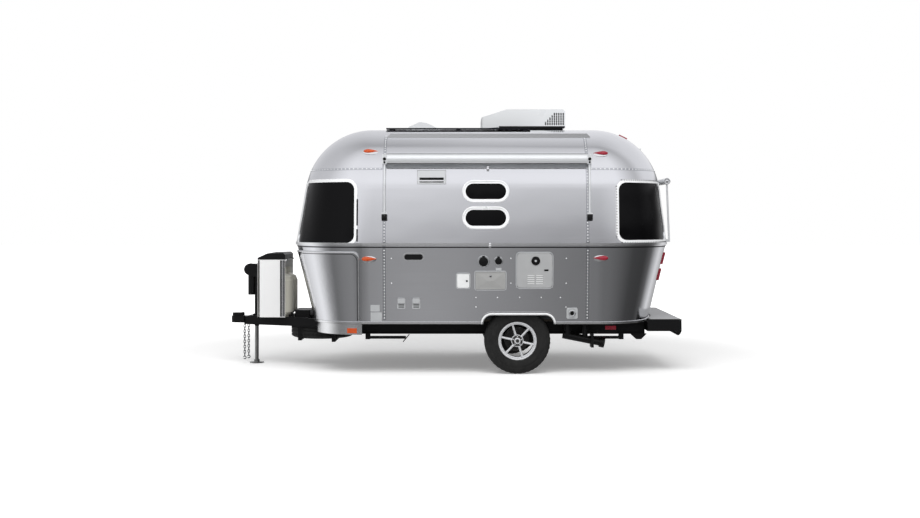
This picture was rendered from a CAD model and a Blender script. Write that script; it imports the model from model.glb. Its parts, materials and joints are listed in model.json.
import bpy
import bmesh
import json
import math
from mathutils import Vector, Matrix


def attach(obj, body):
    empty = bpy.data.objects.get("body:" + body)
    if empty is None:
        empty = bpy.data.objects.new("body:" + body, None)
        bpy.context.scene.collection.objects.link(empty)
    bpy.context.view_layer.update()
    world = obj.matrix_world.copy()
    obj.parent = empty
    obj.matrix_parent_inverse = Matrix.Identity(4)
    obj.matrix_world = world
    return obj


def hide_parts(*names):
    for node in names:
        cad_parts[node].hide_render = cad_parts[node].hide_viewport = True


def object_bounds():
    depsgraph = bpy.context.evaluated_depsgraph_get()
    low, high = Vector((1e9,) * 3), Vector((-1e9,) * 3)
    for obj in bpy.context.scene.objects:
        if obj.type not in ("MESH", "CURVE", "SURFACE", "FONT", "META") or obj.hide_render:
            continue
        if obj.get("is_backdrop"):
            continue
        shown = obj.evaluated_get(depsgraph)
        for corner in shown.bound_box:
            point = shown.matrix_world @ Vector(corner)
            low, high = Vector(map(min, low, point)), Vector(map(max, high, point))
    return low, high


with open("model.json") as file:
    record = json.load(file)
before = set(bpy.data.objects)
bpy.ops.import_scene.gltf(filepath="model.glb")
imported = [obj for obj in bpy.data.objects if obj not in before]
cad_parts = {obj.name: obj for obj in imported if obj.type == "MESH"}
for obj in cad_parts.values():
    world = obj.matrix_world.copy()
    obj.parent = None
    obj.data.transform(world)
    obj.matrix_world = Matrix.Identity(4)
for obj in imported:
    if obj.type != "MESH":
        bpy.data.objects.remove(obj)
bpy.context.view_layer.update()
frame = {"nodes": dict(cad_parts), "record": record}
nodes = frame["nodes"]
print("frame loaded")


# helpers that the pieces share
def linearFrom(hexColour):
    parts = [int(hexColour[i:i + 2], 16) / 255 for i in (1, 3, 5)]
    return [v / 12.92 if v <= 0.04045 else ((v + 0.055) / 1.055) ** 2.4 for v in parts] + [1.0]


def feed(node, links):
    # each input is fed by a socket, or by the first output of a node
    for name, source in links.items():
        node.id_data.links.new(getattr(source, "outputs", [source])[0], node.inputs[name])


def addNode(tree, kind, settings=None, links=None):
    # settings name an input socket or a property
    node = tree.nodes.new(kind)
    for name, value in (settings or {}).items():
        if isinstance(name, int) or name in node.inputs:
            node.inputs[name].default_value = value
        else:
            setattr(node, name, value)
    feed(node, links or {})
    return node


def startMaterial(name, **principled):
    material = bpy.data.materials.new(name)
    material.use_nodes = True
    shader = material.node_tree.nodes["Principled BSDF"]
    for socket, value in principled.items():
        shader.inputs[socket.replace("_", " ")].default_value = value
    return material, material.node_tree, shader


def objectPattern(tree, perMetre):
    # Object coordinates stretched to so many patterns per metre
    place = addNode(tree, "ShaderNodeTexCoord")
    return addNode(tree, "ShaderNodeMapping", {"Scale": perMetre}, {"Vector": place.outputs["Object"]})


def clearSelection():
    if bpy.context.object and bpy.context.object.mode != "OBJECT":
        bpy.ops.object.mode_set(mode="OBJECT")
    bpy.ops.object.select_all(action="DESELECT")


def makeActive(piece):
    clearSelection()
    piece.select_set(True)
    bpy.context.view_layer.objects.active = piece


def settle(piece, smooth=30):
    # the piece's place goes into its mesh, and its edges sharper than smooth stay crisp
    makeActive(piece)
    bpy.ops.object.transform_apply(location=True, rotation=True, scale=True)
    if smooth:
        bpy.ops.object.shade_smooth_by_angle(angle=math.radians(smooth))
    return piece


def applyModifier(piece, kind, **settings):
    makeActive(piece)
    modifier = piece.modifiers.new(kind, kind)
    for key, value in settings.items():
        setattr(modifier, key, value)
    bpy.ops.object.modifier_apply(modifier=modifier.name)
    return piece


def cutWith(piece, cutter, operation="DIFFERENCE"):
    return applyModifier(piece, "BOOLEAN", operation=operation, object=cutter, solver="EXACT")


def joinAll(pieces):
    clearSelection()
    for piece in pieces:
        piece.select_set(True)
    bpy.context.view_layer.objects.active = pieces[0]
    bpy.ops.object.join()
    return pieces[0]


def dress(pieces, name, slotName, body="trailer", smooth=40, look=None):
    # joins pieces into one finished piece, in its slot's look unless another is named
    piece = settle(joinAll(pieces) if len(pieces) > 1 else pieces[0], smooth)
    piece.name = piece.data.name = name
    piece.data.materials.clear()
    piece.data.materials.append(finish[look or slotName])
    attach(piece, body)
    return piece


def removePieces(*pieces):
    for piece in pieces:
        bpy.data.objects.remove(piece, do_unlink=True)


def meshPiece(name, points, faces):
    mesh = bpy.data.meshes.new(name)
    mesh.from_pydata(points, [], faces)
    mesh.update()
    piece = bpy.data.objects.new(name, mesh)
    bpy.context.scene.collection.objects.link(piece)
    return piece


def copiesOf(template, places, name):
    # one mesh of a template set at each place, a matrix
    points, faces = [], []
    for place in places:
        start = len(points)
        points += [place @ vertex.co for vertex in template.data.vertices]
        faces += [[start + i for i in face.vertices] for face in template.data.polygons]
    removePieces(template)
    return meshPiece(name, points, faces)


def facing(point, normal, upright=Vector((0, 0, 1))):
    # a place whose z looks along the normal and whose y leans to upright
    z = normal.normalized()
    x = upright.cross(z)
    x = x.normalized() if x.length > 1e-4 else Vector((1, 0, 0))
    y = z.cross(x)
    turned = Matrix((x, y, z)).transposed().to_4x4()
    turned.translation = point
    return turned


def pipe(points, radius, closed=False, steps=3):
    # a round bar or cable through the points
    curve = bpy.data.curves.new("pipe", "CURVE")
    curve.dimensions = "3D"
    curve.bevel_depth = radius
    curve.bevel_resolution = steps
    curve.use_fill_caps = True
    spline = curve.splines.new("POLY")
    spline.points.add(len(points) - 1)
    for spot, point in zip(spline.points, points):
        spot.co = (*point, 1)
    spline.use_cyclic_u = closed
    piece = bpy.data.objects.new("pipe", curve)
    bpy.context.scene.collection.objects.link(piece)
    makeActive(piece)
    bpy.ops.object.convert(target="MESH")
    return bpy.context.object


def cube(xRange, yRange, zRange, bevel=0.0, segments=2):
    # a block between three ranges, its edges rounded
    clearSelection()
    centre = [(a + b) / 2 for a, b in (xRange, yRange, zRange)]
    bpy.ops.mesh.primitive_cube_add(size=1, location=centre)
    piece = bpy.context.object
    piece.scale = [b - a for a, b in (xRange, yRange, zRange)]
    bpy.ops.object.transform_apply(location=True, rotation=False, scale=True)
    if bevel:
        applyModifier(piece, "BEVEL", width=bevel, segments=segments, limit_method="ANGLE")
    return piece


def cylinder(start, end, radius, sides=32, bevel=0.0, farRadius=None):
    # a round or tapered bar between two points, its rims rounded
    start, end = Vector(start), Vector(end)
    clearSelection()
    bpy.ops.mesh.primitive_cone_add(vertices=sides, radius1=radius, depth=(end - start).length,
                                    radius2=radius if farRadius is None else farRadius)
    piece = bpy.context.object
    piece.matrix_world = facing((start + end) / 2, end - start, Vector((0, 0.3, 1)))
    settle(piece, 0)
    if bevel:
        applyModifier(piece, "BEVEL", width=bevel, segments=2, limit_method="ANGLE", angle_limit=math.radians(50))
    return piece


# materials
def aluminiumSheet(name, tone, rough, wave):
    # clad aluminium sheet, rolled and clear-coated: a soft mirror, a faint grain along the caravan,
    # slow dents between the ribs and slightly duller clouds where it has been wiped
    material, tree, shader = startMaterial(name, Base_Color=linearFrom(tone), Metallic=1.0)
    grain = addNode(tree, "ShaderNodeTexNoise", {"Scale": 1.0, "Detail": 3.0, "Roughness": 0.55},
                    {"Vector": objectPattern(tree, (0.9, 30, 160))})
    cloud = addNode(tree, "ShaderNodeTexNoise", {"Scale": 1.0, "Detail": 3.0},
                    {"Vector": objectPattern(tree, (1.1, 1.1, 1.6))})
    billow = addNode(tree, "ShaderNodeTexNoise", {"Scale": 1.0, "Detail": 1.0, "Roughness": 0.3},
                     {"Vector": objectPattern(tree, (1.6, 1.6, 2.6))})
    both = addNode(tree, "ShaderNodeMath", {"operation": "ADD"}, {0: grain, 1: cloud})
    spread = addNode(tree, "ShaderNodeMapRange", {"From Min": 0.6, "From Max": 1.4, "To Min": rough - 0.015,
                                                  "To Max": rough + 0.03}, {"Value": both})
    bump = addNode(tree, "ShaderNodeBump", {"Strength": wave, "Distance": 0.01}, {"Height": billow})
    feed(shader, {"Roughness": spread, "Normal": bump})
    return material


def paintedMetal(name, tone, rough, metallic=0.0, speckle=0.04, gloss=0.5):
    # powder coat or paint: slightly uneven gloss, a fine orange peel
    colour = linearFrom(tone)
    material, tree, shader = startMaterial(name, Base_Color=colour, Metallic=metallic, Specular_IOR_Level=gloss)
    peel = addNode(tree, "ShaderNodeTexNoise", {"Scale": 1.0, "Detail": 3.0},
                   {"Vector": objectPattern(tree, (240, 240, 240))})
    cloud = addNode(tree, "ShaderNodeTexNoise", {"Scale": 1.0, "Detail": 5.0},
                    {"Vector": objectPattern(tree, (7, 7, 7))})
    spread = addNode(tree, "ShaderNodeMapRange", {"To Min": rough - 0.08, "To Max": rough + 0.08}, {"Value": cloud})
    tint = addNode(tree, "ShaderNodeMix", {"data_type": "RGBA", "blend_type": "MULTIPLY", 0: speckle * 4, 6: colour},
                   {7: cloud})
    bump = addNode(tree, "ShaderNodeBump", {"Strength": 0.06, "Distance": 0.001}, {"Height": peel})
    feed(shader, {"Roughness": spread, "Base Color": tint.outputs[2], "Normal": bump})
    return material


def tintedGlass(name):
    # tempered glass with a near-black tint, a little wavy
    material, tree, shader = startMaterial(name, Base_Color=linearFrom("#040405"), Roughness=0.03,
                                           Specular_IOR_Level=0.12)
    ripple = addNode(tree, "ShaderNodeTexNoise", {"Scale": 1.0, "Detail": 1.0},
                     {"Vector": objectPattern(tree, (3, 3, 3))})
    bump = addNode(tree, "ShaderNodeBump", {"Strength": 0.04, "Distance": 0.01}, {"Height": ripple})
    feed(shader, {"Normal": bump})
    return material


def tyreRubber(name):
    # vulcanised rubber, moulded: dull, greyer where it is dusty
    material, tree, shader = startMaterial(name, Roughness=0.72)
    cloud = addNode(tree, "ShaderNodeTexNoise", {"Scale": 1.0, "Detail": 6.0},
                    {"Vector": objectPattern(tree, (18, 18, 18))})
    dust = addNode(tree, "ShaderNodeValToRGB", {}, {"Fac": cloud})
    for element, tone in zip(dust.color_ramp.elements, ("#0d0d0d", "#262625")):
        element.color = linearFrom(tone)
    grit = addNode(tree, "ShaderNodeTexNoise", {"Scale": 1.0, "Detail": 2.0},
                   {"Vector": objectPattern(tree, (600, 600, 600))})
    bump = addNode(tree, "ShaderNodeBump", {"Strength": 0.2, "Distance": 0.001}, {"Height": grit})
    feed(shader, {"Base Color": dust, "Normal": bump})
    return material


def lampLens(name, tone):
    # moulded polycarbonate lens over a reflector: deep colour with fine flutes
    material, tree, shader = startMaterial(name, Base_Color=linearFrom(tone), Roughness=0.12, Coat_Weight=0.6)
    flutes = addNode(tree, "ShaderNodeTexWave", {"Scale": 1.0, "Distortion": 0.0, "bands_direction": "Z"},
                     {"Vector": objectPattern(tree, (60, 60, 60))})
    bump = addNode(tree, "ShaderNodeBump", {"Strength": 0.25, "Distance": 0.002}, {"Height": flutes.outputs["Fac"]})
    feed(shader, {"Normal": bump})
    return material


finish = {
    "polished_aluminium": aluminiumSheet("cladAluminiumSheet", "#e6e7ea", 0.15, 0.12),
    "bright_trim": aluminiumSheet("brightExtrusion", "#f2f3f4", 0.22, 0.02),
    "lap_sheet": aluminiumSheet("lapSheet", "#c9cbcf", 0.2, 0.05),
    "tinted_glass": tintedGlass("tintedGlass"),
    "black_steel": paintedMetal("blackPowderCoat", "#0e0e0f", 0.45, gloss=0.25),
    "zinc_steel": paintedMetal("zincPlate", "#b9bab8", 0.32, metallic=1.0, speckle=0.1),
    "tyre_rubber": tyreRubber("tyreRubber"),
    "alloy": paintedMetal("machinedAlloy", "#e6e7e9", 0.25, metallic=0.45, speckle=0.0),
    "cast_iron": paintedMetal("castIron", "#3a3937", 0.6, speckle=0.15),
    "white_plastic": paintedMetal("whiteShroud", "#dcdee0", 0.3, speckle=0.0),
    "grey_lid": paintedMetal("greyPaint", "#a9aaab", 0.4),
    "locker_grey": paintedMetal("lockerPaint", "#a0a09f", 0.42),
    "white_lid": paintedMetal("whitePaint", "#e9eaea", 0.35),
    "plywood": paintedMetal("sealedPlywood", "#4a4238", 0.7, speckle=0.15),
    "galvanised": paintedMetal("galvanisedSheet", "#6f7274", 0.45, metallic=0.8, speckle=0.2),
    "silver_cover": paintedMetal("silverPaint", "#f6f6f6", 0.30, metallic=0.12, speckle=0.0),
    "dark_plastic": paintedMetal("darkPlastic", "#101011", 0.4, gloss=0.3),
    "pale_bottle": paintedMetal("bottlePaint", "#cfcdc0", 0.4, speckle=0.0),
    "solar_black": paintedMetal("solarGlass", "#111119", 0.1),
    "awning_grey": paintedMetal("awningCase", "#e2e4e6", 0.32, metallic=0.45, speckle=0.0),
    "amber_lens": lampLens("amberLens", "#c04a12"),
    "red_lens": lampLens("redLens", "#93142a"),
    "port_grey": paintedMetal("portPaint", "#b3b5b7", 0.4),
    "white_trim": paintedMetal("whiteTrim", "#f6f7f8", 0.3, metallic=0.2, speckle=0.0),
    "dark_rivet": paintedMetal("darkRivet", "#4c4e52", 0.35, metallic=0.5, speckle=0.0),
}

nodeSlots = {part["node"]: part["material_slot"] for part in frame["record"]["subparts"]}
whiter = ("window_frames",)  # nodes with a whiter look than their slot's
for name, piece in nodes.items():
    piece.data.materials.clear()
    piece.data.materials.append(finish["white_trim" if name in whiter else nodeSlots[name]])
print("materials ready")

# the body's form, as in the frame; a level is its height, half width, corner radius, front nose, rear nose
# and the front and rear end of its straight side
form = {
    "sill": (0.570, 1.140, 0.560, -1.530, 2.280, -0.925, 1.625),
    "belt": (1.400, 1.220, 0.800, -1.745, 2.470, -0.915, 1.632),
    "eave": (2.035, 1.180, 0.760, -1.635, 2.392, -0.845, 1.590),
    "endShoulder": 0.758, "endLean": 10, "sideShoulder": 0.668, "sideLean": 3.6, "roofAngle": 84,
    "seamFront": -0.687, "seamRear": 1.477, "domeSeam": 2.390, "wall": 0.045,
    "bowSteps": 14, "cornerSteps": 18, "sideSteps": 3, "middleSteps": 30, "acrossSteps": 14, "rows": (14, 12, 30),
}
sill, belt, eave = (form[level][0] for level in ("sill", "belt", "eave"))
seams, dome = (form["seamFront"], form["seamRear"]), form["domeSeam"]


def between(low, high, z):
    share = (z - low[0]) / (high[0] - low[0])
    return [a + (b - a) * share for a, b in zip(low, high)]


def planPoints(level):
    # half of one level, nose to tail along the street side
    z, halfWidth, corner, front, rear, sideFront, sideRear = level
    ends = []
    for way, nose, side in ((-1, front, sideFront), (1, rear, sideRear)):
        across, along = halfWidth - corner, abs(nose - side) - corner
        turn = 2 * (math.atan2(across, along) - math.pi / 4)
        joinX = side + way * corner * math.sin(turn)
        joinY = halfWidth - corner + corner * math.cos(turn)
        rise = abs(nose - joinX)
        radius = (rise * rise + joinY * joinY) / (2 * rise)
        reach = math.asin(joinY / radius)
        points = []
        for step in range(form["bowSteps"]):
            angle = reach * step / form["bowSteps"]
            points.append((nose - way * (radius - radius * math.cos(angle)), -radius * math.sin(angle)))
        for step in range(form["cornerSteps"] + 1):
            angle = turn * (1 - step / form["cornerSteps"])
            points.append((side + way * corner * math.sin(angle), -(halfWidth - corner + corner * math.cos(angle))))
        ends.append(points)
    marks = [sideFront, form["seamFront"], form["seamRear"], sideRear]
    steps = (form["sideSteps"], form["middleSteps"], form["sideSteps"])
    straight = []
    for start, stop, count in zip(marks, marks[1:], steps):
        straight += [(start + (stop - start) * step / count, -halfWidth) for step in range(1, count + 1)]
    return ends[0] + straight + ends[1][::-1][1:]


def levelPoints(z):
    # half of the outline at height z
    if z <= belt:
        share = (z - sill) / (belt - sill)
        low, high = planPoints(form["sill"]), planPoints(form["belt"])
        return [(a[0] + (b[0] - a[0]) * share, a[1] + (b[1] - a[1]) * share) for a, b in zip(low, high)]
    if z <= eave:
        return planPoints(between(form["belt"], form["eave"], z))
    pulledIn = []
    for radius, lean, limit in ((form["endShoulder"], form["endLean"], 1),
                                (form["sideShoulder"], form["sideLean"], 0.9999)):
        lean = math.radians(lean)
        turn = math.asin(min(limit, (z - eave + radius * math.sin(lean)) / radius))
        pulledIn.append(radius * math.cos(lean) - radius * math.cos(turn))
    end, side = pulledIn
    halfWidth, corner, front, rear, sideFront, sideRear = form["eave"][1:]
    return planPoints((z, halfWidth - side, corner - end, front + end, rear - end, sideFront, sideRear))


def shoulderHeight(angle):
    return eave + form["endShoulder"] * (math.sin(math.radians(angle)) - math.sin(math.radians(form["endLean"])))


roofTop = shoulderHeight(form["roofAngle"])
lowRows, midRows, arcRows = form["rows"]
heights = [sill + (belt - sill) * k / lowRows for k in range(lowRows + 1)]
heights += [belt + (eave - belt) * k / midRows for k in range(1, midRows + 1)]
arcTurn = form["roofAngle"] - form["endLean"]
arcHeights = [shoulderHeight(form["endLean"] + arcTurn * k / arcRows) for k in range(1, arcRows + 1)]
nearest = min(range(arcRows), key=lambda k: abs(arcHeights[k] - dome))
arcHeights[nearest] = dome  # the roof's seam lies on a row
heights += arcHeights


def bodySurface():
    # points and faces of the whole outer skin
    rows = [[Vector((x, y, z)) for x, y in levelPoints(z)] for z in heights]
    count, acrossSteps = len(rows[0]), form["acrossSteps"]
    points, faces, grid, lines = [], [], {}, []
    for hand in (1, -1):
        for r, row in enumerate(rows):
            for c, point in enumerate(row):
                if hand < 0 and c in (0, count - 1):
                    grid[hand, r, c] = grid[1, r, c]
                    continue
                grid[hand, r, c] = len(points)
                points.append(Vector((point.x, hand * point.y, point.z)))
    for hand in (1, -1):
        for r in range(len(rows) - 1):
            for c in range(count - 1):
                quad = [grid[hand, r, c], grid[hand, r, c + 1], grid[hand, r + 1, c + 1], grid[hand, r + 1, c]]
                faces.append(quad if hand > 0 else quad[::-1])
    for c in range(count):
        first, last = (grid[hand, len(rows) - 1, c] for hand in (1, -1))
        line = [first]
        for step in range(1, acrossSteps):
            if c in (0, count - 1):
                line.append(first)
                continue
            line.append(len(points))
            points.append(points[first].lerp(points[last], step / acrossSteps))
        lines.append(line + [last])
    for c in range(count - 1):
        for step in range(acrossSteps):
            quad = [lines[c][step], lines[c + 1][step], lines[c + 1][step + 1], lines[c][step + 1]]
            faces.append(list(dict.fromkeys(quad)))
    return points, faces


def skinPanel(name, surface, ranges, thickness):
    # the part of the skin inside three ranges, given its thickness inwards
    points, faces = surface
    kept, index = [], {}
    for face in faces:
        centre = sum((points[i] for i in face), Vector()) / len(face)
        if all(low < value < high for value, (low, high) in zip(centre, ranges)):
            kept.append(face)
            for i in face:
                index.setdefault(i, len(index))
    panel = meshPiece(name, [points[i] for i in index], [[index[i] for i in face] for face in kept])
    return applyModifier(panel, "SOLIDIFY", thickness=thickness, offset=-1, use_even_offset=True)


def roundedPrism(xRange, zRange, corner, yRange, steps=10):
    # a block with its four edges along y rounded
    prism = cube(xRange, yRange, zRange)
    bpy.ops.object.mode_set(mode="EDIT")
    bpy.ops.mesh.select_all(action="DESELECT")
    edit = bmesh.from_edit_mesh(prism.data)
    for edge in edit.edges:
        edge.select = abs(edge.verts[0].co.y - edge.verts[1].co.y) > 0.5 * (yRange[1] - yRange[0])
    bmesh.update_edit_mesh(prism.data)
    bpy.ops.mesh.bevel(offset=corner, segments=steps)
    bpy.ops.object.mode_set(mode="OBJECT")
    return prism


# windows and doorways: front, rear, low and top edge, or low, top and side edge with the end's direction
openings = {
    "slots": ((0.178, 0.610, 1.880, 2.047), (0.178, 0.610, 1.596, 1.767)),
    "curbWindow": (0.560, 1.180, 1.560, 2.040), "curbCorner": 0.060,
    "door": (-0.490, 0.190, 0.640, 2.250), "doorCorner": 0.090, "hingeGap": 0.006, "latchGap": 0.014,
    "arch": (0.367, 1.119, 0.370, 0.640), "archCorner": 0.090,
    "ends": {"front": (1.414, 2.065, -1.007, -1), "rear": (1.444, 2.060, 1.813, 1)},
    "centreHalf": 0.560, "wingFrom": 0.640, "paneCorner": 0.085,
}


# the cutters reach from inside the body to well outside it
def sideCutter(window, corner, hand):
    return roundedPrism(window[:2], window[2:], corner, (0.7, 1.5) if hand > 0 else (-1.5, -0.7))


def endCutters(end):
    # the panes of an end: one in the middle and a wing on each side
    low, top, side, way = openings["ends"][end]
    half, wing = openings["centreHalf"], openings["wingFrom"]
    cutters = []
    for span in ((-half, half), (wing, 1.5), (-1.5, -wing)):
        block = roundedPrism(span, (low, top), openings["paneCorner"], (0.2, 3.2))
        block.rotation_euler = (0, 0, math.radians(-90 * way))
        settle(block, 0)
        along = (side - 3, side) if way < 0 else (side, side + 3)
        other = roundedPrism(along, (low, top), openings["paneCorner"], (-2, 2))
        cutWith(block, other, "INTERSECT")
        removePieces(other)
        cutters.append(block)
    return cutters


far = 9.0  # beyond every edge of the body
panels = {
    "lower_wall_left": (seams, (-far, 0), (0, belt)),
    "lower_wall_right": (seams, (0, far), (0, belt)),
    "upper_wall_left": (seams, (-far, 0), (belt, dome)),
    "upper_wall_right": (seams, (0, far), (belt, dome)),
    "roof": (seams, (-far, far), (dome, far)),
    "front_lower": ((-far, seams[0]), (-far, far), (0, belt)),
    "front_cap": ((-far, seams[0]), (-far, far), (belt, far)),
    "rear_lower": ((seams[1], far), (-far, far), (0, belt)),
    "rear_cap": ((seams[1], far), (-far, far), (belt, far)),
}
slots = [sideCutter(slot, (slot[3] - slot[2]) / 2 - 0.0005, -1) for slot in openings["slots"]]
curbWindow = sideCutter(openings["curbWindow"], openings["curbCorner"], 1)
(front, rear, low, top), gap = openings["door"], openings["hingeGap"]
doorway = sideCutter((front - gap, rear + openings["latchGap"], low - gap, top + gap), openings["doorCorner"] + gap, 1)
arches = [sideCutter(openings["arch"], openings["archCorner"], hand) for hand in (-1, 1)]
frontPanes, rearPanes = endCutters("front"), endCutters("rear")
cuts = {
    "lower_wall_left": arches[:1], "lower_wall_right": [arches[1], doorway],
    "upper_wall_left": slots, "upper_wall_right": [doorway, curbWindow],
    "front_cap": frontPanes, "rear_cap": rearPanes,
}
surface = bodySurface()
for name, ranges in panels.items():
    panel = skinPanel(name + "Sheet", surface, ranges, form["wall"])
    for cutter in cuts.get(name, ()):
        cutWith(panel, cutter)
    dress([panel], name + "Sheet", "polished_aluminium", smooth=30)
    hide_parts(name)
removePieces(*slots, curbWindow, doorway, *arches, *frontPanes, *rearPanes)
print("skins ready")


# places on the skin
def skinSpot(z, c, hand=-1, out=0.0):
    # a point and its outward normal at height z and place c along half the outline, from the nose to the tail
    step = 0.004 if z + 0.004 < roofTop else -0.004
    row, other = levelPoints(z), levelPoints(z + step)
    i = max(0, min(int(c), len(row) - 2))
    here, there = (Vector(line[i]).lerp(Vector(line[i + 1]), c - i) for line in (row, other))
    along = Vector((*row[i + 1], 0)) - Vector((*row[i], 0))
    rise = Vector((there.x - here.x, there.y - here.y, step)) * (1 if step > 0 else -1)
    normal = along.cross(rise).normalized()
    point = Vector((here.x, here.y, z)) + normal * out
    if hand > 0:
        point.y, normal.y = -point.y, -normal.y
    return point, normal


def placeIn(values, target):
    # where a value lies in a rising list, between its entries
    for i in range(len(values) - 1):
        if values[i] <= target <= values[i + 1]:
            return i + (target - values[i]) / max(values[i + 1] - values[i], 1e-9)
    return 0.0 if target < values[0] else len(values) - 1.0


def placeAt(z, x):
    # where along the outline a station x lies
    return placeIn([point[0] for point in levelPoints(z)], x)


def placeAcross(z, y, end):
    # the same for a distance y from the middle, on the nose (end -1) or the tail (end 1)
    halves = [-point[1] for point in levelPoints(z)]
    return placeIn(halves, y) if end < 0 else len(halves) - 1 - placeIn(halves[::-1], y)


def rowAlong(z, places, pitch, hand, out=0.0):
    # spots evenly spaced along the outline between two places
    row = [Vector(point) for point in levelPoints(z)]
    reach = [0.0]
    for a, b in zip(row, row[1:]):
        reach.append(reach[-1] + (b - a).length)
    ends = []
    for c in places:
        i = max(0, min(int(c), len(reach) - 2))
        ends.append(reach[i] + (reach[i + 1] - reach[i]) * (c - i))
    start, length = ends[0], ends[1] - ends[0]
    count = max(1, round(length / pitch))
    return [skinSpot(z, placeIn(reach, start + length * k / count), hand, out) for k in range(count + 1)]


def rowUp(x, zFrom, zTo, pitch, hand, out=0.0):
    spots, z = [], zFrom
    while z <= zTo:
        spots.append(skinSpot(z, placeAt(z, x), hand, out))
        z += pitch * max(0.12, math.sqrt(max(0.0, 1 - spots[-1][1].z ** 2)))
    return spots


def skinStrip(points, order, hand, proud, sink=0.001):
    # pairs of points joined into a flat strip of sheet
    faces = [[2 * i + k for k in order] for i in range(len(points) // 2 - 1)]
    if hand > 0:
        faces = [face[::-1] for face in faces]
    return applyModifier(meshPiece("strip", points, faces), "SOLIDIFY", thickness=proud + sink, offset=-1)


def skinBand(zRange, places, hand, proud):
    # a strip laid along the skin
    stops = [places[0], *range(int(places[0]) + 1, math.ceil(places[1])), places[1]]
    return skinStrip([skinSpot(z, c, hand, proud)[0] for c in stops for z in zRange], (0, 2, 3, 1), hand, proud)


def skinRib(x, width, zRange, hand, proud, steps=60):
    # a strip that runs up the side, with shorter steps toward its top
    rises = [zRange[0] + (zRange[1] - zRange[0]) * (1 - (1 - k / steps) ** 1.6) for k in range(steps + 1)]
    points = [skinSpot(z, placeAt(z, x + side * width / 2), hand, proud)[0] for z in rises for side in (-1, 1)]
    return skinStrip(points, (0, 1, 3, 2), hand, proud)


lastPlace = len(levelPoints(1.0)) - 1.0

# laps between the sheets
laps = {"width": 0.034, "proud": 0.0016, "rise": (0.590, 2.560), "capSeam": 2.215, "capHigh": 0.022}
capSeam, capLow = laps["capSeam"], laps["capSeam"] - laps["capHigh"]
capRuns = ((0.0, placeAt(capSeam, seams[0])), (placeAt(capSeam, seams[1]), lastPlace))
strips = []
for hand in (-1, 1):
    strips += [skinRib(x, laps["width"], laps["rise"], hand, laps["proud"]) for x in seams]
    strips += [skinBand((capLow, capSeam), run, hand, laps["proud"]) for run in capRuns]
dress(strips, "sheetLaps", "polished_aluminium", smooth=30, look="lap_sheet")

# rivets; the lone ones fasten the ribs inside, at these heights and stations
rivet = {"radius": 0.0068, "high": 0.0042, "pitch": 0.033, "capPitch": 0.048, "framePitch": 0.030, "frameIn": 0.026,
         "frameOut": 0.0066, "seamRows": ((0.612, 1.352), (1.432, 2.372), (2.404, 2.585))}
loneRivets = (((1.250, 0.985), (-0.610, 0.660, 1.250)), ((0.832,), (0.290, 0.520, 0.755, 0.985, 1.190)),
              ((0.730,), (0.290, 1.250)))


def rivetsAt(spots, name, look="white_trim"):
    clearSelection()
    bpy.ops.mesh.primitive_uv_sphere_add(segments=8, ring_count=6, radius=1)
    head = bpy.context.object
    bpy.ops.object.mode_set(mode="EDIT")
    bpy.ops.mesh.bisect(plane_co=(0, 0, -0.05), plane_no=(0, 0, 1), clear_inner=True)
    bpy.ops.object.mode_set(mode="OBJECT")
    head.scale = (rivet["radius"], rivet["radius"], rivet["high"])
    heads = copiesOf(settle(head, 0), [facing(point, normal) for point, normal in spots], name)
    dress([heads], name, "bright_trim", smooth=60, look=look)


spots = []
for hand in (-1, 1):
    for x in seams:
        for low, top in rivet["seamRows"]:
            spots += rowUp(x, low, top, rivet["pitch"], hand, laps["proud"])
    for run in capRuns:
        spots += rowAlong(capSeam - laps["capHigh"] / 2, run, rivet["capPitch"], hand, laps["proud"])
    if hand < 0:
        for rises, stations in loneRivets:
            spots += [skinSpot(z, placeAt(z, x), hand) for z in rises for x in stations]
rivetsAt(spots, "skinRivets")

# a row round each rear pane's frame: along its top and bottom and up the outer edge
low, top, side, way = openings["ends"]["rear"]
grow, out, pitch = rivet["frameIn"], rivet["frameOut"], rivet["framePitch"]
spots = []
for hand in (-1, 1):
    for z in (low - grow, top + grow):
        wing = (placeAt(z, side - way * (grow - 0.06)), placeAcross(z, openings["wingFrom"] + 0.02, way))
        centre = (placeAcross(z, openings["centreHalf"] - 0.03, way), lastPlace)
        for run in (wing, centre):
            spots += rowAlong(z, run, pitch, hand, out)
    spots += rowUp(side - way * grow, low + 0.035, top - 0.03, pitch, hand, out)
rivetsAt(spots, "rearFrameRivets", "dark_rivet")
print("rivets ready")

# flat pieces on the lower street wall
lowerLean = math.atan2(form["belt"][1] - form["sill"][1], belt - sill)
wallNormal = Vector((0, -math.cos(lowerLean), -math.sin(lowerLean)))


def wallPoint(x, z, out=0.0):
    return Vector((x, -(form["sill"][1] + (z - sill) * math.tan(lowerLean)), z)) + wallNormal * out


def wallPlate(xRange, zRange, corner, outRange, steps=6):
    # a plate between two distances out from the wall
    half, high = (xRange[1] - xRange[0]) / 2, (zRange[1] - zRange[0]) / 2
    plate = settle(roundedPrism((-half, half), (-high, high), corner, (-outRange[1], -outRange[0]), steps), 0)
    middle = wallPoint(sum(xRange) / 2, sum(zRange) / 2)
    plate.data.transform(Matrix.Translation(middle) @ Matrix.Rotation(lowerLean, 4, "X"))
    return plate


def wallDisc(x, z, radius, outRange, sides=36, bevel=0.0, farRadius=None):
    return cylinder(wallPoint(x, z, outRange[0]), wallPoint(x, z, outRange[1]), radius, sides, bevel, farRadius)


def ring(point, normal, radius, wire, segments=40, around=10):
    clearSelection()
    bpy.ops.mesh.primitive_torus_add(major_radius=radius, minor_radius=wire, major_segments=segments,
                                     minor_segments=around)
    piece = bpy.context.object
    piece.matrix_world = facing(Vector(point), Vector(normal))
    return settle(piece, 0)


def plateAt(x, z, halves, corner, outRange, steps=6):
    # a wall plate by its centre and half sizes
    return wallPlate((x - halves[0], x + halves[0]), (z - halves[1], z + halves[1]), corner, outRange, steps)


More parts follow.
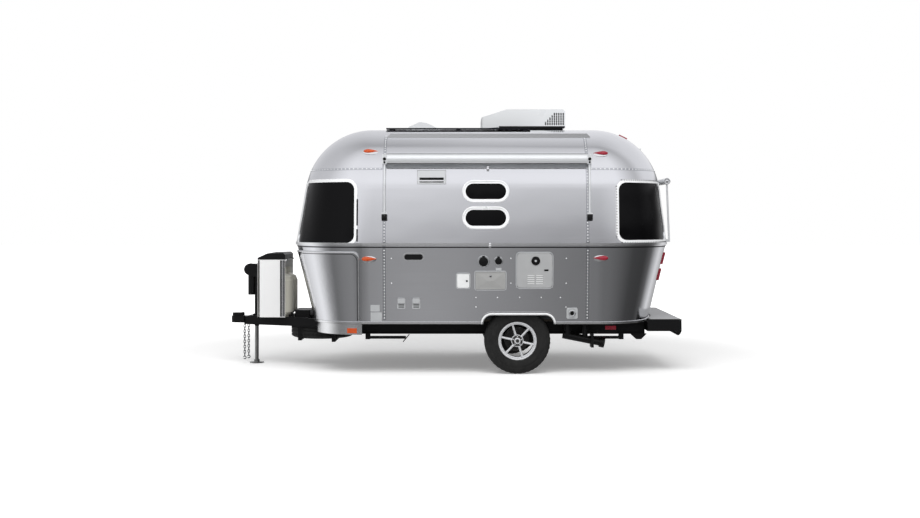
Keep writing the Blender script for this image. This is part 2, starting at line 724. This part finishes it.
heater = {"face": 0.014, "flue": (0.924, 1.225), "latch": ((1.014, 1.060), (1.116, 1.134)), "columns": (0.874, 0.966),
          "rows": (0.982, 1.004, 1.026, 1.048, 1.070), "blade": (0.037, 0.0032), "cap": 0.046, "centre": 0.012,
          "rings": ((0.041, 0.005), (0.024, 0.003))}
face, flue = heater["face"], heater["flue"]
dress([wallDisc(*flue, heater["cap"], (face - 0.004, face + 0.003), bevel=0.002),
       *(ring(wallPoint(*flue, face + 0.003), wallNormal, *sizes) for sizes in heater["rings"]),
       wallPlate(*heater["latch"], 0.004, (face - 0.005, face - 0.001))], "heaterFlue", "dark_plastic", "heater_door")
dress([wallDisc(*flue, heater["centre"], (face, face + 0.006), bevel=0.002)], "heaterFlueCentre", "port_grey",
      "heater_door")
dress([plateAt(x, z, heater["blade"], 0.001, (face - 0.0045, face + 0.0015), 2)
       for x in heater["columns"] for z in heater["rows"]], "heaterLouvres", "white_lid", "heater_door")

# x, z, radius, and where each lock starts and ends out from the wall
locks = {"locker": (0.4436, 1.063, 0.014, 0.0145, 0.0235), "fill": (0.192, 1.010, 0.010, 0.0145, 0.0185)}
x, z, radius, low, top = locks["locker"]
dress([wallDisc(x, z, radius, (low, top), bevel=0.002)], "lockerLatch", "bright_trim", "locker_door")
dress([wallDisc(x, z, radius * 0.45, (top, top + 0.001))], "lockerKeyhole", "dark_plastic", "locker_door")
x, z, radius, low, top = locks["fill"]
dress([wallDisc(x, z, radius, (low, top), bevel=0.0015)], "fillLock", "dark_plastic", "fill_door")

# x, z, cap radius, flange radius
inlets = ((0.369, 1.218, 0.050, 0.060), (0.528, 1.223, 0.037, 0.044))
caps, flanges = [], []
for x, z, radius, flange in inlets:
    caps += [wallDisc(x, z, radius, (0.020, 0.027), bevel=0.003),
             plateAt(x, z, (radius * 0.4, radius * 0.14), 0.003, (0.027, 0.032)),
             wallPlate((x - 0.014, x + 0.014), (z + radius - 0.006, z + radius + 0.012), 0.004, (0.010, 0.026))]
    flanges.append(ring(wallPoint(x, z, 0.009), wallNormal, flange, 0.004))
hose = {"centre": (1.315, 0.664), "ring": 0.031, "wire": 0.007, "hole": 0.0215}
caps.append(wallDisc(*hose["centre"], hose["hole"], (0.0042, 0.006)))
flanges.append(ring(wallPoint(*hose["centre"], 0.020), wallNormal, hose["ring"], hose["wire"]))
vents = {"ranges": ((-0.549, -0.464), (-0.390, -0.305)), "slots": (0.728, 0.742, 0.756), "lip": (0.768, 0.774),
         "top": (0.818, 0.830)}
for start, end in vents["ranges"]:
    caps += [wallPlate((start + 0.012, end - 0.012), (z - 0.003, z + 0.003), 0.001, (0.0075, 0.009), 2)
             for z in vents["slots"]]
    flanges.append(wallPlate((start + 0.005, end - 0.005), vents["lip"], 0.002, (0.006, 0.0215), 2))
    flanges.append(wallPlate((start - 0.001, end + 0.001), vents["top"], 0.003, (0.006, 0.0095), 2))
badge = {"centre": (-0.374, 1.2655), "halves": (0.110, 0.0415), "rim": 0.012}
flanges.append(plateAt(*badge["centre"], badge["halves"], 0.040, (0.0048, 0.0056), 8))
inside = [half - badge["rim"] for half in badge["halves"]]
caps.append(plateAt(*badge["centre"], inside, 0.028, (0.0050, 0.0064), 8))
# the range vent's slot and lip stand on its flat plate
rangeVent = {"face": -1.186, "xRange": (-0.312, -0.054), "slot": (2.084, 2.110), "lip": (2.056, 2.083),
             "edge": ((-0.334, -0.032), (2.043, 2.187))}
face, span = rangeVent["face"], rangeVent["xRange"]
caps.append(cube(span, (face - 0.0016, face + 0.001), rangeVent["slot"]))
flanges.append(cube(span, (face - 0.006, face + 0.003), rangeVent["lip"], bevel=0.002))
across, rise = rangeVent["edge"]
dress([cube(across, (face - 0.0010, face + 0.001), rise)], "rangeVentPlate", "awning_grey")
corners = [(across[i], face, rise[k]) for i, k in ((0, 0), (1, 0), (1, 1), (0, 1))]
flanges.append(pipe(corners, 0.0035, closed=True))
dress(caps, "wallCovers", "dark_plastic")
dress(flanges, "wallFlanges", "bright_trim")
labels = (((0.502, 0.558), (1.122, 1.148), (0.0055, 0.0070)), ((-0.835, -0.738), (0.682, 0.752), (0.0, 0.0014)),
          ((-0.835, -0.716), (0.576, 0.672), (0.0, 0.0014)))
dress([wallPlate(xs, zs, 0.003, outs, 2) for xs, zs, outs in labels], "blankLabels", "port_grey")
print("wall fittings ready")

# trim that follows the skin
gasket = {"zRange": (1.362, 1.374), "proud": 0.0022, "door": (-0.53, 0.215)}
doorSides = [placeAt(sum(gasket["zRange"]) / 2, x) for x in gasket["door"]]
bands = [skinBand(gasket["zRange"], ends, hand, gasket["proud"])
         for hand, ends in ((-1, (0.0, lastPlace)), (1, (0.0, doorSides[0])), (1, (doorSides[1], lastPlace)))]
windowLatch = {"x": -0.974, "width": 0.014, "zRanges": ((1.43, 1.56), (1.60, 1.88)), "proud": 0.008}
bands += [skinRib(windowLatch["x"], windowLatch["width"], zRange, hand, windowLatch["proud"], steps=12)
          for hand in (-1, 1) for zRange in windowLatch["zRanges"]]
dress(bands, "beltGasket", "dark_plastic")

# the stone guards' edge: along the top, round its rear corner and down
guard = {"top": 1.318, "rear": -0.952, "corner": 0.075, "low": 0.585, "start": 0.43,
         "trim": (0.004, 0.0145, 0.0062), "seal": (0.022, 0.0135, 0.0038)}  # inset, distance out, wire


def guardPipes(inset, out, wire):
    top, rear, corner = guard["top"] - inset, guard["rear"] - inset, guard["corner"]
    first, last = placeAcross(top, guard["start"], -1), placeAt(top, rear - corner)
    spots = [(top, first + (last - first) * k / 24) for k in range(25)]
    for k in range(1, 9):
        angle = math.radians(90 * k / 8)
        z = top - corner + corner * math.cos(angle)
        spots.append((z, placeAt(z, rear - corner + corner * math.sin(angle))))
    for k in range(1, 13):
        z = top - corner - (top - corner - guard["low"]) * k / 12
        spots.append((z, placeAt(z, rear)))
    return [pipe([skinSpot(z, c, hand, out)[0] for z, c in spots], wire) for hand in (-1, 1)]


dress(guardPipes(*guard["trim"]), "guardTrim", "bright_trim")
dress(guardPipes(*guard["seal"]), "guardSeal", "dark_plastic")

# the bright lip round each wheel arch
archLip = {"grow": 0.016, "wire": 0.0105, "low": 0.572, "out": 0.004, "wheelFace": 1.070}
grow, (front, rear, low, top) = archLip["grow"], openings["arch"]
front, rear, top, radius = front - grow, rear + grow, top + grow, openings["archCorner"] + grow
outline = [(front, archLip["low"])]
for middle, start in ((front + radius, 180), (rear - radius, 90)):
    for k in range(9):
        angle = math.radians(start - 90 * k / 8)
        outline.append((middle + radius * math.cos(angle), top - radius + radius * math.sin(angle)))
outline.append((rear, archLip["low"]))
lipRuns = [[skinSpot(z, placeAt(z, x), hand, archLip["out"])[0] for x, z in outline] for hand in (-1, 1)]
clear = min(abs(point.y) for point in lipRuns[0]) - archLip["wire"] - archLip["wheelFace"]
print("arch lip clear of the wheel by", round(clear, 4))
dress([pipe(run, archLip["wire"]) for run in lipRuns], "archLips", "bright_trim", smooth=60, look="white_trim")

# the dark compartment that shows behind each hatch when it swings open: x and z range inside its frame, corner
hatchInsides = (((0.727, 1.097), (0.940, 1.305), 0.034), ((0.287, 0.599), (0.924, 1.103), 0.010),
                ((0.091, 0.216), (0.940, 1.082), 0.012))
dress([wallPlate(xs, zs, corner, (0.0, 0.0016), 4) for xs, zs, corner in hatchInsides], "hatchInsides", "dark_plastic")

# a white lip round each slot window
slotLip = {"grow": 0.026, "wire": 0.0085, "out": 0.010, "steps": 40}
lips = []
for front, rear, low, top in openings["slots"]:
    radius, middle, path = (top - low) / 2, (top + low) / 2, []
    for k in range(slotLip["steps"]):
        angle = 2 * math.pi * k / slotLip["steps"]
        x, z = (radius + slotLip["grow"]) * math.cos(angle), middle + (radius + slotLip["grow"]) * math.sin(angle)
        x += rear - radius if x >= 0 else front + radius
        path.append(skinSpot(z, placeAt(z, x), -1, slotLip["out"])[0])
    lips.append(pipe(path, slotLip["wire"], closed=True))
dress(lips, "slotLips", "bright_trim", smooth=60, look="white_trim")

# x, z and half length, half height of the bright base under each side lamp
lampBases = ((-0.842, 2.392, 0.082, 0.040), (-0.849, 1.240, 0.078, 0.034), (1.632, 2.370, 0.078, 0.040),
             (1.617, 1.250, 0.076, 0.034))
bases = []
for x, z, half, high in lampBases:
    for hand in (-1, 1):
        clearSelection()
        bpy.ops.mesh.primitive_uv_sphere_add(segments=28, ring_count=12, radius=1)
        base = bpy.context.object
        base.scale = (half, high, 0.007)
        settle(base, 0)
        base.data.transform(facing(*skinSpot(z, placeAt(z, x), hand)))
        bases.append(base)
dress(bases, "lampBases", "bright_trim")

# awnings
catchSpots = ((0.417, 2.216), (0.438, 1.395))
catches = []
for x, z in catchSpots:
    y = skinSpot(z, placeAt(z, x))[0].y
    catches.append(cube((x - 0.011, x + 0.011), (y - 0.022, y + 0.004), (z - 0.030, z + 0.020), bevel=0.003))
    catches.append(cylinder((x, y - 0.024, z - 0.018), (x, y - 0.006, z - 0.018), 0.016, 20, 0.003))
dress(catches, "awningCatches", "bright_trim")
roller = {"y": -1.169, "z": 2.307, "radius": 0.060, "xRange": (-0.659, 1.473), "blockFace": -1.205,
          "lines": ((-0.051, 0.007), (0.053, 0.0035))}
feet = {"xs": (-0.684, 1.498), "z": (1.652, 1.722), "half": 0.0295, "faceY": -1.243}
dark = []
for rise, wire in roller["lines"]:  # the dark lines below and above the roller
    y = roller["y"] - math.sqrt(roller["radius"] ** 2 - rise ** 2)
    dark.append(pipe([(x, y, roller["z"] + rise) for x in roller["xRange"]], wire))
for x in feet["xs"]:
    half, low, face = feet["half"], feet["faceY"], roller["blockFace"]
    dark.append(cube((x - half, x + half), (low - 0.003, low + 0.02), feet["z"], bevel=0.006))
    dark.append(cylinder((x, face - 0.006, roller["z"]), (x, face + 0.004, roller["z"]), 0.017, 20, 0.002))
    dark.append(cube((x - 0.010, x + 0.010), (face - 0.004, face + 0.004), (2.262, 2.284), bevel=0.003))
dress(dark, "awningDarkParts", "dark_plastic")

# rear end
hub = {"centre": (2.424, 2.090), "side": 0.588, "ring": (0.031, 0.007), "high": 0.007, "plug": 0.016}
x, z = hub["centre"]
rings = []
for hand in (-1, 1):
    rings.append(ring((x, hand * (hub["side"] + 0.004), z), (0, hand, 0), *hub["ring"]))
    rings.append(cylinder((x, hand * hub["side"], z), (x, hand * (hub["side"] + hub["high"]), z), hub["plug"], 20, 0.002))
dress(rings, "rearAwningHubs", "bright_trim")
antenna = {"x": 2.205, "radius": 0.010, "tipRadius": 0.007}
x = antenna["x"]
z = max(z / 1000 for z in range(2100, 2600, 2) if levelPoints(z / 1000)[-1][0] >= x)  # the cap's height there
dress([cylinder((x - 0.01, 0, z - 0.015), (x + 0.012, 0, z + 0.078), antenna["radius"], 16, 0.002,
                antenna["tipRadius"])], "antenna", "white_plastic")

# roof unit and fan
unit = {"half": 0.340, "slats": 9, "pitch": 0.025, "rear": 1.290, "zRange": (2.735, 2.872), "deep": 0.012,
        "base": (0.530, 1.284), "baseHalf": 0.300, "baseZ": (2.660, 2.706), "shadeX": (0.56, 1.308),
        "shadeZ": (2.700, 2.722), "shadeHalf": 0.3412, "barHalves": (0.333, 0.3395)}


def onSide(hand, near, away):
    return sorted((hand * near, hand * away))


dark, bars = [], []
for hand in (-1, 1):
    for slat in range(unit["slats"]):
        x = unit["rear"] - slat * unit["pitch"]
        low, top = unit["zRange"][0], unit["zRange"][1] - max(0, slat - 4) * unit["pitch"]
        floor = unit["half"] - unit["deep"]
        dark.append(cube((x - 0.0075, x + 0.0075), onSide(hand, floor, floor + 0.0015), (low, top)))
    for k in range(1, 5):
        z = unit["zRange"][0] + k * 0.027
        start = unit["rear"] - (unit["slats"] - 1 - max(0, k - 1)) * unit["pitch"]
        bars.append(cube((start, unit["rear"] + 0.008), onSide(hand, *unit["barHalves"]), (z - 0.002, z + 0.002)))
    dark.append(cube(unit["base"], onSide(hand, unit["baseHalf"], unit["baseHalf"] + 0.003), unit["baseZ"]))
    dark.append(cube(unit["shadeX"], onSide(hand, unit["barHalves"][1], unit["shadeHalf"]), unit["shadeZ"]))
dress(dark, "roofUnitShade", "dark_plastic")
dress(bars, "roofUnitBars", "white_plastic")
fanEdge = {"xRange": (-0.484, -0.130), "half": 0.1835, "zRange": (2.688, 2.712)}
dress([cube(fanEdge["xRange"], onSide(hand, fanEdge["half"], fanEdge["half"] - 0.003), fanEdge["zRange"])
       for hand in (-1, 1)], "fanGlass", "solar_black")
print("trim ready")

# wheels
wheel = {"x": 0.737, "z": 0.3575, "outer": 1.070, "width": 0.225, "lip": 0.199, "faceIn": 0.036, "spokes": 6,
         "firstSpoke": -13, "hub": 0.058, "spokeEnd": 0.184, "nuts": 5, "nutAt": 0.046, "treadSteps": 132,
         "groove": 0.3500, "spareAt": (-1.480, 0, 0.4155), "lipWire": 0.0088, "bead": (0.180, 0.0065),
         "dome": (0.034, 0.030), "spoke": (0.0125, 0.0092), "nut": 0.0075, "cap": 0.020}
# half the tyre's section from the bead out: radius and distance from its middle
tyreSection = ((0.1960, 0.0945), (0.2060, 0.1050), (0.2130, 0.1092), (0.2240, 0.1118), (0.2262, 0.1104),
               (0.2300, 0.1119), (0.2620, 0.1125), (0.2880, 0.1121), (0.2900, 0.1108), (0.2940, 0.1116),
               (0.3120, 0.1086), (0.3300, 0.1030), (0.3420, 0.0975), (0.3505, 0.0905), (0.3550, 0.0820),
               (0.3566, 0.0680), (0.3480, 0.0660), (0.3480, 0.0560), (0.3571, 0.0540), (0.3574, 0.0270),
               (0.3480, 0.0250), (0.3480, 0.0150), (0.3575, 0.0130))


def ringMesh(name, section, steps):
    # a ring about y; every third step of the tread is cut down to a groove
    points, faces, count = [], [], len(section)
    for step in range(steps):
        angle = 2 * math.pi * step / steps
        for r, y in section:
            if step % 3 == 0 and 0.345 < r and abs(y) > 0.030:
                r = min(r, wheel["groove"])
            points.append((r * math.cos(angle), y, r * math.sin(angle)))
    for step in range(steps):
        for i in range(count):
            a, b = step * count, (step + 1) % steps * count
            faces.append([a + i, b + i, b + (i + 1) % count, a + (i + 1) % count])
    return meshPiece(name, points, faces)


fullSection = list(tyreSection) + [(r, -y) for r, y in reversed(tyreSection)]
middle = wheel["outer"] - wheel["width"] / 2
tyres = {"tyre_left": ("wheel_left", (wheel["x"], -middle, wheel["z"])),
         "tyre_right": ("wheel_right", (wheel["x"], middle, wheel["z"])), "spare_tyre": ("trailer", wheel["spareAt"])}
for node, (body, place) in tyres.items():
    tyre = ringMesh(node + "Tread", fullSection, wheel["treadSteps"])
    makeActive(tyre)
    bpy.ops.object.mode_set(mode="EDIT")
    bpy.ops.mesh.select_all(action="SELECT")
    bpy.ops.mesh.normals_make_consistent(inside=False)
    bpy.ops.object.mode_set(mode="OBJECT")
    if node == "spare_tyre":
        tyre.rotation_euler = (math.radians(90), 0, 0)
    tyre.location = place
    dress([tyre], node + "Tread", "tyre_rubber", body, 35)
    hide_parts(node)


def atWheel(hand, radius, degrees, out):
    # a point on a wheel's face, so far in from its outer side
    angle = math.radians(degrees)
    return Vector((wheel["x"] + radius * math.cos(angle), hand * (wheel["outer"] - out),
                   wheel["z"] + radius * math.sin(angle)))


def wheelBar(hand, ends, degrees, outs, *shape):
    return cylinder(*(atWheel(hand, end, degrees, out) for end, out in zip(ends, outs)), *shape)


face, nutAt = wheel["faceIn"], wheel["nutAt"]
(domeFoot, domeTop), (spokeFoot, spokeTip) = wheel["dome"], wheel["spoke"]
for side, hand in (("Left", -1), ("Right", 1)):
    body = "wheel_" + side.lower()
    bright = [ring(atWheel(hand, 0, 0, 0.0105), (0, hand, 0), wheel["lip"], wheel["lipWire"], 72, 12),
              ring(atWheel(hand, 0, 0, face + 0.001), (0, hand, 0), *wheel["bead"], 64, 10),
              wheelBar(hand, (0, 0), 0, (face, 0.020), domeFoot, 36, 0.003, domeTop)]
    for k in range(wheel["spokes"]):
        degrees = wheel["firstSpoke"] + k * 360 / wheel["spokes"]
        bright.append(wheelBar(hand, (wheel["hub"], wheel["spokeEnd"]), degrees, (face + 0.001, face - 0.004),
                               spokeFoot, 16, 0.0, spokeTip))
    for k in range(wheel["nuts"]):
        degrees = 90 + k * 360 / wheel["nuts"]
        bright.append(wheelBar(hand, (nutAt, nutAt), degrees, (face, face - 0.014), wheel["nut"], 6, 0.001))
    dress(bright, "rimBright" + side, "alloy", body)
    dress([wheelBar(hand, (0, 0), 0, (face + 0.001, face - 0.002), wheel["hub"], 36, 0.001),
           wheelBar(hand, (0, 0), 0, (0.0205, 0.0190), wheel["cap"], 28)], "hubShade" + side, "cast_iron", body)
print("wheels ready")

# safety chains, a round link modelled like the next but turned, and a hook at the end
chain = {"x": {-1: -2.376, 1: -2.346}, "y": 0.046, "top": 0.430, "links": 12, "pitch": 0.030, "half": 0.0185,
         "wide": 0.0105, "wire": 0.0042, "hook": 0.0155, "hookWire": 0.0055, "hookDrop": 0.035}
links = []
for hand in (-1, 1):
    x, y = chain["x"][hand], hand * chain["y"]
    for k in range(chain["links"]):
        z, path = chain["top"] - k * chain["pitch"], []
        for step in range(20):
            angle = 2 * math.pi * step / 20
            across, up = chain["wide"] * math.cos(angle), chain["wide"] * math.sin(angle)
            up += (chain["half"] - chain["wide"]) * (1 if up >= 0 else -1)
            path.append((x, y + across, z + up) if k % 2 else (x + across, y, z + up))
        links.append(pipe(path, chain["wire"], closed=True, steps=2))
    z -= chain["hookDrop"]
    arc = [math.radians(-70 + 300 * step / 18) for step in range(19)]
    links.append(pipe([(x + chain["hook"] * math.sin(a), y, z + chain["hook"] * math.cos(a)) for a in arc],
                      chain["hookWire"], steps=2))
chainPiece = dress(links, "roundLinkChains", "zinc_steel", smooth=60, look="dark_rivet")
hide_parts("safety_chains")

# gas cover trim: strips forward of the cover's rear edge
coverTrim = {"half": 0.330, "proud": 0.0016, "rear": -1.872, "zRange": (0.560, 1.200),
             "dark": ((-0.052, -0.036), (-0.014, 0)), "bright": ((-0.036, -0.014),)}
for tone, slotName in (("dark", "dark_plastic"), ("bright", "bright_trim")):
    strips = [cube((coverTrim["rear"] + start, coverTrim["rear"] + end),
                   onSide(hand, coverTrim["half"], coverTrim["half"] + coverTrim["proud"]), coverTrim["zRange"])
              for hand in (-1, 1) for start, end in coverTrim[tone]]
    dress(strips, "coverEdge" + tone.title(), slotName)
latch = {"body": ((-2.505, -2.405), (-0.021, 0.021), (0.546, 0.570)),
         "lever": ((-2.450, 0, 0.570), (-2.395, 0, 0.584))}
dress([cube(*latch["body"], bevel=0.009, segments=3), cylinder(*latch["lever"], 0.008, 14, 0.002)], "couplerLatch",
      "black_steel")
print("front ready")

# camera, floor, backdrop and light
view = {"location": (0.13, -14.0, 1.669), "lens": 47.11, "shift": (-0.0011, -0.0435)}
cameraData = bpy.data.cameras.new("camera")
cameraData.lens, cameraData.sensor_width = view["lens"], 36
cameraData.shift_x, cameraData.shift_y = view["shift"]
camera = bpy.data.objects.new("camera", cameraData)
camera.location = view["location"]
camera.rotation_euler = (math.radians(90), 0, 0)
bpy.context.scene.collection.objects.link(camera)
bpy.context.scene.camera = camera

# the studio floor brightens to white away from the caravan
stage = {"floorHalf": 60.0, "glow": 0.22, "fade": (3.4, 7.5), "worldLight": 0.55, "lamp": 560, "lampSize": (9, 5),
         "lampAt": (0.0, -6.4, 7.6)}
clearSelection()
bpy.ops.mesh.primitive_plane_add(size=2 * stage["floorHalf"], location=(0, 0, -0.0005))
floor = bpy.context.object
floor.name = "studioFloor"
floor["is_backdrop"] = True
floorMaterial = bpy.data.materials.new("studioFloor")
floorMaterial.use_nodes = True
tree = floorMaterial.node_tree
tree.nodes.clear()
path = addNode(tree, "ShaderNodeLightPath")
spot = addNode(tree, "ShaderNodeTexCoord")
away = addNode(tree, "ShaderNodeVectorMath", {"operation": "LENGTH"}, {0: spot.outputs["Object"]})
fade = addNode(tree, "ShaderNodeMapRange", {"interpolation_type": "SMOOTHSTEP", "From Min": stage["fade"][0],
                                            "From Max": stage["fade"][1], "To Min": stage["glow"], "To Max": 1.0},
               {"Value": away.outputs["Value"]})
glow = addNode(tree, "ShaderNodeEmission", {}, {"Strength": fade})
matte = addNode(tree, "ShaderNodeBsdfDiffuse", {"Color": (1, 1, 1, 1)})
both = addNode(tree, "ShaderNodeAddShader", {}, {0: glow, 1: matte})
chosen = addNode(tree, "ShaderNodeMixShader", {}, {0: path.outputs["Is Camera Ray"], 1: matte, 2: both})
addNode(tree, "ShaderNodeOutputMaterial", {}, {"Surface": chosen})
floor.data.materials.append(floorMaterial)
floor.visible_glossy = False

# what metal and glass mirror: by elevation in degrees for the studio above, by bearing in degrees for the
# floor around, where 0 is the street side and -90 is ahead of the caravan
studio = {
    "above": ((-90, 0.10), (0, 0.10), (4, 0.14), (5.5, 0.22), (6.4, 0.35), (7.4, 0.68), (9, 0.98), (18, 1.0),
              (35, 0.96), (50, 0.94), (65, 0.84), (90, 0.62)),
    "around": ((-180, 0.36), (-150, 0.40), (-120, 0.80), (-98, 1.0), (-85, 0.72), (-72, 0.34), (-58, 0.16),
               (-40, 0.22), (-22, 0.25), (-9, 0.14), (-6, 0.17), (-3.5, 0.44), (-0.5, 0.39), (3, 0.24),
               (8, 0.15), (20, 0.15), (35, 0.12), (62, 0.055), (88, 0.045), (104, 0.11), (116, 0.46),
               (130, 0.80), (155, 0.45), (180, 0.36)),
    "aboveAround": ((-180, 0.80), (-120, 0.62), (-84, 0.66), (-62, 0.86), (-42, 1.0), (-20, 0.98), (10, 1.0),
                    (40, 1.0), (62, 0.74), (80, 0.55), (100, 0.80), (180, 0.90)),
    "floorUpTo": 2.0, "skyFrom": 7.0, "turnAcross": 0.16, "turnLimit": 5.0,
}


def degreeRamp(tree, angle, limit, stops):
    # a grey ramp over an angle in degrees
    share = addNode(tree, "ShaderNodeMapRange", {"From Min": -limit, "From Max": limit}, {"Value": angle})
    made = addNode(tree, "ShaderNodeValToRGB", {}, {"Fac": share})
    elements = made.color_ramp.elements
    for index, (degrees, tone) in enumerate(stops):
        place = (degrees + limit) / (2 * limit)
        element = elements[index] if index < 2 else elements.new(place)
        element.position = place
        element.color = (tone, tone, tone * 1.015, 1)
    return made


world = bpy.data.worlds.new("studio")
bpy.context.scene.world = world
world.use_nodes = True
tree = world.node_tree
tree.nodes.clear()
direction = addNode(tree, "ShaderNodeTexCoord")
parts = addNode(tree, "ShaderNodeSeparateXYZ", {}, {0: direction.outputs["Generated"]})
nearSide = addNode(tree, "ShaderNodeMath", {"operation": "MULTIPLY", 1: -1.0}, {0: parts.outputs["Y"]})
rising = addNode(tree, "ShaderNodeMath", {"operation": "ARCSINE"}, {0: parts.outputs["Z"]})
turning = addNode(tree, "ShaderNodeMath", {"operation": "ARCTAN2"}, {0: parts.outputs["X"], 1: nearSide})
elevation = addNode(tree, "ShaderNodeMath", {"operation": "DEGREES"}, {0: rising})
bearing = addNode(tree, "ShaderNodeMath", {"operation": "DEGREES"}, {0: turning})
# the studio above starts higher toward the rear
near = addNode(tree, "ShaderNodeClamp", {"Min": -studio["turnLimit"], "Max": studio["turnLimit"]}, {"Value": bearing})
leaning = addNode(tree, "ShaderNodeMath", {"operation": "MULTIPLY_ADD", 1: -studio["turnAcross"]},
                  {0: near, 2: elevation})
cap = addNode(tree, "ShaderNodeClamp", {"Min": -90.0, "Max": 90.0}, {"Value": leaning})
above = degreeRamp(tree, cap, 90, studio["above"])
aboveAround = degreeRamp(tree, bearing, 180, studio["aboveAround"])
around = degreeRamp(tree, bearing, 180, studio["around"])
sky = addNode(tree, "ShaderNodeMix", {"data_type": "RGBA", "blend_type": "MULTIPLY", 0: 1.0},
              {6: above, 7: aboveAround})
rise = addNode(tree, "ShaderNodeMapRange", {"interpolation_type": "SMOOTHSTEP", "From Min": studio["floorUpTo"],
                                            "From Max": studio["skyFrom"]}, {"Value": elevation})
seen = addNode(tree, "ShaderNodeMix", {"data_type": "RGBA"}, {0: rise, 6: around, 7: sky.outputs[2]})
path = addNode(tree, "ShaderNodeLightPath")
mirrored = addNode(tree, "ShaderNodeBackground", {"Strength": 1.0}, {"Color": seen.outputs[2]})
white = addNode(tree, "ShaderNodeBackground", {"Strength": 1.0, "Color": (1, 1, 1, 1)})
ambient = addNode(tree, "ShaderNodeBackground", {"Strength": stage["worldLight"], "Color": (1, 1, 1, 1)})
first = addNode(tree, "ShaderNodeMixShader", {}, {0: path.outputs["Is Glossy Ray"], 1: ambient, 2: mirrored})
second = addNode(tree, "ShaderNodeMixShader", {}, {0: path.outputs["Is Camera Ray"], 1: first, 2: white})
addNode(tree, "ShaderNodeOutputWorld", {}, {"Surface": second})

lampData = bpy.data.lights.new("softBox", "AREA")
lampData.shape, lampData.energy = "RECTANGLE", stage["lamp"]
lampData.size, lampData.size_y = stage["lampSize"]
lamp = bpy.data.objects.new("softBox", lampData)
lamp.location = stage["lampAt"]
lamp.rotation_euler = (math.atan2(-lamp.location.y, lamp.location.z), 0, 0)
lamp.visible_glossy = False
bpy.context.scene.collection.objects.link(lamp)

bpy.context.scene.view_settings.view_transform = "Standard"
bpy.context.view_layer.update()
low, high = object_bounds()
